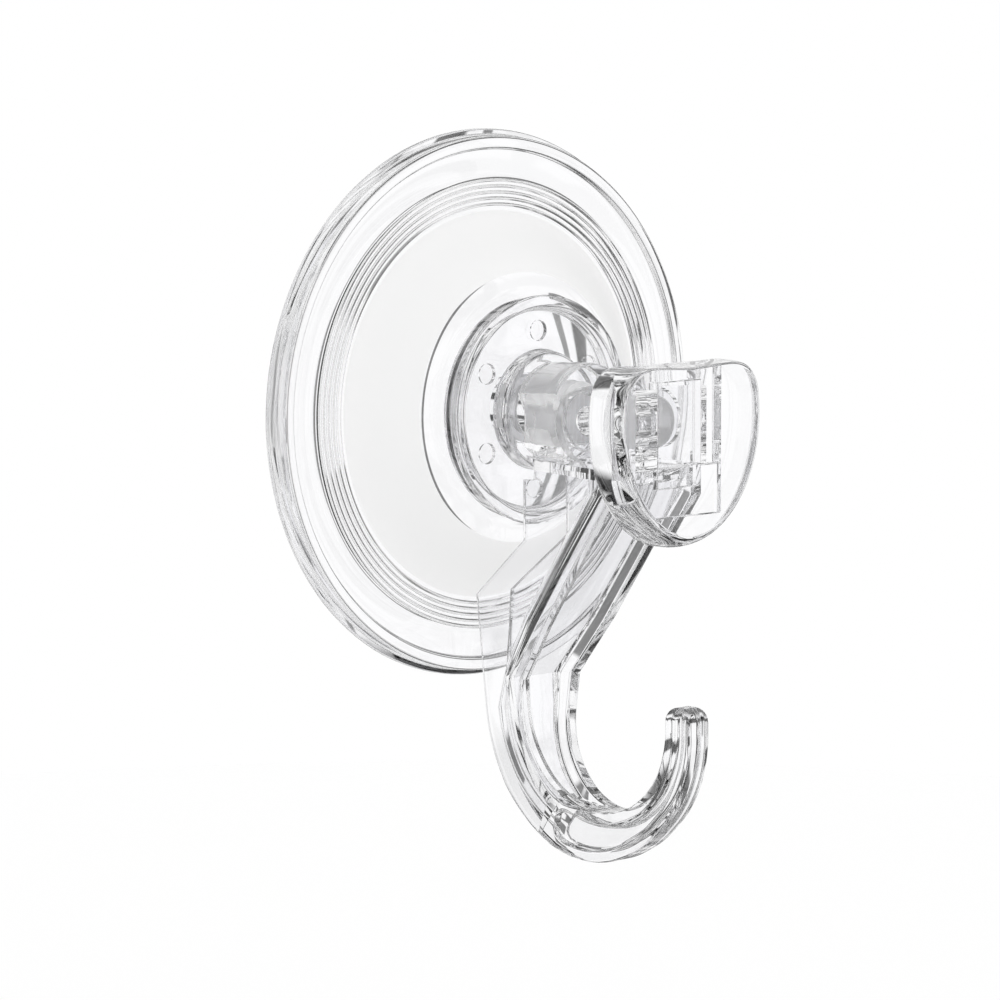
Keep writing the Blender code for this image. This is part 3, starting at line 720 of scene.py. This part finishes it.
def jRings(h):
    # round the throat, then straight up and closed over the tip
    rings = []
    for step in range(h["jSteps"] + 1):
        angle = 180 + 180 * step / h["jSteps"]
        thick = readTable(h["depths"], angle)[0]
        halves = readTable(h["widths"], angle)
        fade = min(1.0, max(0.0, (h["channelEnd"] - angle) / (h["channelEnd"] - h["channelFade"])))
        opened = min(1.0, max(0.0, (angle - h["pocketFrom"]) / h["pocketRound"]))
        opened = math.sqrt(opened * (2.0 - opened))
        reach = (thick / 2 - h["rim"]) * (h["pocketStart"] + (1 - h["pocketStart"]) * opened)
        sunk = h["pocket"] * min(1.0, opened * h["pocketPlunge"])
        pocket = (thick / 2 - reach, thick / 2 + reach, sunk)
        cavity = h["channel"] + h["floor"] if angle < h["cavityEnd"] else thick
        front, back = jPoint(h, angle, 0.0), jPoint(h, angle, thick)
        rings.append(armSection(h, front, back, halves, h["channel"] * fade, cavity, pocket))
    for share in h["tipSteps"]:
        lift = h["straight"] + h["tipRound"] * share
        keep = max(math.sqrt(1.0 - share ** 2), h["tipLeast"])
        rings.append(armSection(h, (front[0], front[1] + lift), (back[0], back[1] + lift), halves,
                                0.0, thick, pocket, h["tipDepth"] + (1 - h["tipDepth"]) * keep))
    return rings


def makeHook(h):
    guideBack = h["sleeveFront"] - h["guideLength"]
    profile = [
        (h["bore"], h["sleeveBack"], 0.1),
        (h["radiusBack"], h["sleeveBack"], 0.45),
        (h["radiusFront"], h["sleeveFront"], 0.5),
        (h["guide"], h["sleeveFront"], 0.2),
        (h["guide"], guideBack, 0),
        (h["bore"], guideBack - h["guideFunnel"], 0),
    ]
    halfBack = h["topWidths"][1]
    roundWidth = math.sqrt(h["radiusBack"] ** 2 - h["flatTop"] ** 2)
    slope = (h["flatTop"] - h["wallTop"]) / (roundWidth - halfBack)
    reach = h["cutReach"]
    corners = [(halfBack, h["wallTop"]), (reach, h["wallTop"] + slope * (reach - halfBack)),
               (reach, -reach), (halfBack, -reach)]
    tools = []
    for side in (-1, 1):
        flank = loft([[(side * across, forward, up) for across, up in corners]
                      for forward in h["cutDepth"]])
        inner, outer = sorted((side * (halfBack - h["wall"]), side * halfBack))
        wall = block((inner, h["reliefBack"], h["armTop"] - h["wallSink"]),
                     (outer, h["sleeveFront"], h["wallTop"]))
        tools += [(flank, "DIFFERENCE"), (wall, "UNION")]
    tools.append((loft(slantRings(h) + jRings(h)), "UNION"))
    shape = carve(turned(profile, h["sleeveSteps"], closed=True), tools)
    piece = finishPiece(shape, "moulded_hook", "hook_body", polycarbonate,
                        sharpAngle=28)
    piece.data.materials.append(satinCore)
    for face in piece.data.polygons:
        forward = -face.center.y / mm
        radius = math.hypot(face.center.x, face.center.z) / mm
        if h["sleeveBack"] < forward < h["sleeveFront"] and radius < h["bore"] + h["boreSkin"]:
            face.material_index = 1


makeHook(hook)

# hinge pin, headed at both ends

pin = {
    "radius": 2.0,
    "half": 7.4,
    "head": 4.2,
    "headThickness": 1.1,
    "dimple": (1.3, 1.5, 0.5),          # radius of its floor, radius of its mouth, depth
    "steps": 72,
}


def makePin(p):
    floor, mouth, depth = p["dimple"]
    shaft = p["half"] - p["headThickness"]
    rows = [(0.0, -p["half"] + depth), (floor, -p["half"] + depth), (mouth, -p["half"]),
            (p["head"], -p["half"]), (p["head"], -shaft), (p["radius"], -shaft)]
    rows += [(radius, -across) for radius, across in reversed(rows)]
    bm = bmesh.new()
    verts = [bm.verts.new(spot(across, hingeForward, radius)) for radius, across in rows]
    edges = [bm.edges.new(pair) for pair in zip(verts, verts[1:])]
    bmesh.ops.spin(bm, geom=verts + edges, cent=spot(0, hingeForward, 0), axis=(1, 0, 0),
                   angle=math.tau, steps=p["steps"], use_merge=True)
    finishPiece(bm, "moulded_pin", "hinge_pin", polycarbonate)


makePin(pin)

# lever: paddle, platform, roots and cam cheeks

lever = {
    "halfWidth": 15.6,
    "halfHeight": 19.4,
    "centre": 1.0,
    "sideSteps": 96,
    "top": 9.1,
    "topSteps": 12,
    "dip": 0.35,                        # how far the middle of the top edge is hollowed for the thumb
    "corner": (3.9, 5.6),               # rounding of the top corners, at the back and at the front
    "cornerDrop": 0.8,                  # share of the rounding at which a corner meets the side
    "cornerLean": 0.12,
    "cornerSteps": 14,
    "back": 41.6,
    "thickness": 6.2,
    "edge": 0.4,
    "edgeSteps": 4,
    "crownDepth": 5.1,
    "crownInset": 2.3,
    "crownSteps": 24,
    "sink": 0.5,                        # how far platform and roots reach into what bears them
    "platform": (8.8, 8.8, -13.8, 1.4),   # half width, top, bottom, height
    "platformRound": 0.2,
    "root": (8.4, -6.5, 2.0),           # top, bottom, height above the platform
    "rootRound": 0.25,
    "rootInset": 0.4,                   # how far a root goes inside of its cheek
    "pocket": (4.5, 6.6, -9.4, 0.4),    # half width, top, bottom, depth into the paddle
    "pocketReach": 4.0,                 # the pocket is cut from this far behind the platform
    "pocketRound": 0.2,
    "camRadius": 5.4,
    "cam": (31.2, -0.75),
    "camSteps": 96,
    "cheekInner": 4.5,
    "cheekOuter": 7.4,
    "cheekTop": 5.6,
    "cheekBottom": 0.1,                 # above the lower end of the root
    "cheekSink": 0.4,
    "bore": 2.3,
    "boreSteps": 64,
    "seat": 4.5,
    "seatDepth": 1.4,
    "seatSteps": 72,
    "drillReach": 9.0,                  # the bore and its seats are cut from this far to the side
}


def paddleOutline(v, corner):
    # ellipse cut off at the top, with two round corners and a slight dip between them
    start = math.asin((v["top"] - v["centre"]) / v["halfHeight"])
    side = []
    for step in range(v["sideSteps"] + 1):
        turn = start - (math.pi / 2 + start) * step / v["sideSteps"]
        side.append((v["halfWidth"] * math.cos(turn), v["centre"] + v["halfHeight"] * math.sin(turn)))
    reach = side[0][0]
    # whatever the corner, the side starts below the largest one, so all outlines have as many points
    largest = v["corner"][1]
    first = next(i for i, point in enumerate(side) if point[1] < v["top"] - v["cornerDrop"] * largest)
    side = side[first:]
    run = reach - corner
    top = []
    for step in range(v["topSteps"]):
        wave = (1 + math.cos(math.pi * step / v["topSteps"])) / 2
        top.append((run * step / v["topSteps"], v["top"] - v["dip"] * wave))
    peak = (reach + v["cornerLean"] * (largest - corner), v["top"])
    rounded = [bend((run, v["top"]), peak, side[0], step / v["cornerSteps"])
               for step in range(v["cornerSteps"])]
    return mirrored(top + rounded + side)


def paddleRings(v):
    # rows of depth, inset of the sides and drop of the top edge
    rows = []
    for step in range(v["edgeSteps"] + 1):
        turn = math.pi / 2 * step / v["edgeSteps"]
        inset = v["edge"] * (1 - math.sin(turn))
        rows.append((v["back"] + v["edge"] * (1 - math.cos(turn)), inset, inset))
    for step in range(v["crownSteps"] + 1):
        turn = math.pi / 2 * step / v["crownSteps"]
        forward = v["thickness"] - v["crownDepth"] * (1 - math.sin(turn))
        near = max(0.0, 1 - (v["thickness"] - forward) / v["edge"])
        rows.append((v["back"] + forward, v["crownInset"] * (1 - math.cos(turn)),
                     v["edge"] * (1 - math.sqrt(1 - near ** 2))))
    rings = []
    cornerBack, cornerFront = v["corner"]
    for forward, inset, drop in rows:
        share = inset / v["crownInset"]
        wide = 1 - inset / v["halfWidth"]
        high = 1 - inset / v["halfHeight"]
        low = 1 - drop / (v["top"] - v["centre"])
        ring = []
        for across, up in paddleOutline(v, cornerBack + (cornerFront - cornerBack) * share):
            rise = up - v["centre"]
            ring.append((across * wide, forward, v["centre"] + rise * (low if rise > 0 else high)))
        rings.append(ring)
    return rings


def makeCheek(v, side, ground, rootBottom):
    # hull of the cam's round and a strip in the platform
    bm = bmesh.new()
    for across in (side * v["cheekInner"], side * v["cheekOuter"]):
        ring = bmesh.ops.create_circle(bm, segments=v["camSteps"], radius=v["camRadius"] * mm)["verts"]
        bmesh.ops.rotate(bm, verts=ring, cent=(0, 0, 0),
                         matrix=Matrix.Rotation(math.radians(90), 3, "Y"))
        bmesh.ops.translate(bm, verts=ring, vec=spot(across, *v["cam"]))
        for up in (v["cheekTop"], rootBottom + v["cheekBottom"]):
            bm.verts.new(spot(across, ground + v["cheekSink"], up))
    bmesh.ops.convex_hull(bm, input=bm.verts[:])
    bmesh.ops.recalc_face_normals(bm, faces=bm.faces)
    return bm


def makeLever(v):
    half, top, bottom, height = v["platform"]
    ground = v["back"] - height
    platform = block((-half, ground, bottom), (half, v["back"] + v["sink"], top), v["platformRound"])
    tools = [(platform, "UNION")]
    rootTop, rootBottom, rootHeight = v["root"]
    for side in (-1, 1):
        low, high = sorted((side * (v["cheekInner"] - v["rootInset"]), side * half))
        root = block((low, ground - rootHeight, rootBottom), (high, ground + v["sink"], rootTop),
                     v["rootRound"])
        tools += [(root, "UNION"), (makeCheek(v, side, ground, rootBottom), "UNION")]
    half, top, bottom, depth = v["pocket"]
    pocket = block((-half, ground - v["pocketReach"], bottom), (half, v["back"] + depth, top),
                   v["pocketRound"])
    reach = v["drillReach"]
    tools += [(pocket, "DIFFERENCE"),
              (crossCylinder(v["bore"], -reach, reach, v["boreSteps"]), "DIFFERENCE")]
    for side in (-1, 1):
        low, high = sorted((side * (v["cheekOuter"] - v["seatDepth"]), side * reach))
        tools.append((crossCylinder(v["seat"], low, high, v["seatSteps"]), "DIFFERENCE"))
    finishPiece(carve(loft(paddleRings(v)), tools), "moulded_lever", "lever",
                polycarbonate, sharpAngle=28)


makeLever(lever)

# white studio with dark cards that the glassy edges pick up

studio = {
    "sector": 45.0,                     # degrees: the compass repeats, opening behind each usual view
    "opening": 46.5,
    # dark cards in the white room: grey level round one sector, and from straight below to above
    "ring": ((0.0, 1.0), (0.09, 1.0), (0.105, 0.0), (0.24, 0.0), (0.26, 1.0), (0.33, 1.0), (0.335, 0.2),
             (0.375, 0.2), (0.38, 1.0), (0.82, 1.0), (0.84, 0.2), (0.88, 0.2), (0.9, 1.0)),
    "height": ((0.0, 0.1), (0.13, 0.15), (0.19, 0.95), (0.26, 1.0), (0.275, 0.1), (0.345, 0.1),
               (0.36, 1.0), (0.61, 1.0), (0.65, 0.03), (0.7, 0.03), (0.74, 1.0), (1.0, 0.9)),
    "white": (1, 1, 1, 1),
    "floorUp": -120.0,
    "floorRadius": 0.35,
    "floorSteps": 96,
    "floor": "f4f4f4",                  # matt white background paper
    "floorRoughness": 0.9,
    "litShare": 0.5,                    # lit white in what the camera sees; the rest shows the shadow
    "glow": 0.55,
}


def makeWorld(s):
    # only what the glassy faces reflect and bend has the cards in it
    world = bpy.data.worlds.new("studio")
    scene.world = world
    world.use_nodes = True
    tree = world.node_tree
    tree.nodes.clear()
    place = addNode(tree, "ShaderNodeTexCoord")
    split = addNode(tree, "ShaderNodeSeparateXYZ", None, {"Vector": place.outputs["Generated"]})
    compass = addNode(tree, "ShaderNodeMath", {"operation": "ARCTAN2"},
                      {0: split.outputs["Y"], 1: split.outputs["X"]})
    turns = addNode(tree, "ShaderNodeMath",
                    {"operation": "MULTIPLY_ADD", 1: 180 / math.pi / s["sector"],
                     2: 0.5 - s["opening"] / s["sector"]}, {0: compass.outputs["Value"]})
    share = addNode(tree, "ShaderNodeMath", {"operation": "FRACT"}, {0: turns.outputs["Value"]})
    rise = addNode(tree, "ShaderNodeMapRange", {"From Min": -1.0, "From Max": 1.0},
                   {"Value": split.outputs["Z"]})
    ring = greyRamp(tree, share.outputs["Value"], s["ring"])
    height = greyRamp(tree, rise.outputs["Result"], s["height"])
    # of a colour mix 0 is the factor, 6 and 7 are the colours, and output 2 is the result
    tone = addNode(tree, "ShaderNodeMix", {"data_type": "RGBA", "blend_type": "MULTIPLY", 0: 1.0},
                   {6: ring.outputs["Color"], 7: height.outputs["Color"]})
    path = addNode(tree, "ShaderNodeLightPath")
    clear = clearRays(tree, path)
    direct = addNode(tree, "ShaderNodeMath", {"operation": "LESS_THAN", 1: 0.5},
                     {0: path.outputs["Diffuse Depth"]})
    seen = addNode(tree, "ShaderNodeMath", {"operation": "MULTIPLY"},
                   {0: clear.outputs["Value"], 1: direct.outputs["Value"]})
    white = addNode(tree, "ShaderNodeBackground", {"Strength": 1.0, "Color": s["white"]})
    cards = addNode(tree, "ShaderNodeBackground", {"Strength": 1.0}, {"Color": tone.outputs[2]})
    shown = blend(tree, seen.outputs["Value"], white, cards)
    mixed = blend(tree, path.outputs["Is Camera Ray"], shown, white)
    addNode(tree, "ShaderNodeOutputWorld", None, {"Surface": mixed.outputs[0]})


def makeFloor(s):
    # the paper takes the shadow; glassy faces look through it into the white room
    paper = bpy.data.materials.new("paperFloor")
    paper.use_nodes = True
    tree = paper.node_tree
    shader = tree.nodes["Principled BSDF"]
    shader.inputs["Base Color"].default_value = linear(s["floor"])
    shader.inputs["Roughness"].default_value = s["floorRoughness"]
    path = addNode(tree, "ShaderNodeLightPath")
    glow = addNode(tree, "ShaderNodeEmission",
                   {"Strength": s["glow"] / s["litShare"], "Color": s["white"]})
    lit = blend(tree, s["litShare"], shader, glow)
    paperSeen = blend(tree, path.outputs["Is Camera Ray"], shader, lit)
    letThrough = addNode(tree, "ShaderNodeBsdfTransparent")
    mixed = blend(tree, clearRays(tree, path).outputs["Value"], paperSeen, letThrough)
    tree.links.new(mixed.outputs[0], tree.nodes["Material Output"].inputs["Surface"])
    bm = bmesh.new()
    bmesh.ops.create_circle(bm, cap_ends=True, segments=s["floorSteps"], radius=s["floorRadius"])
    bmesh.ops.translate(bm, verts=bm.verts, vec=(0, 0, s["floorUp"] * mm))
    floor = asObject(bm, "paper_floor")
    floor.data.materials.append(paper)


makeWorld(studio)
makeFloor(studio)
print("studio made")
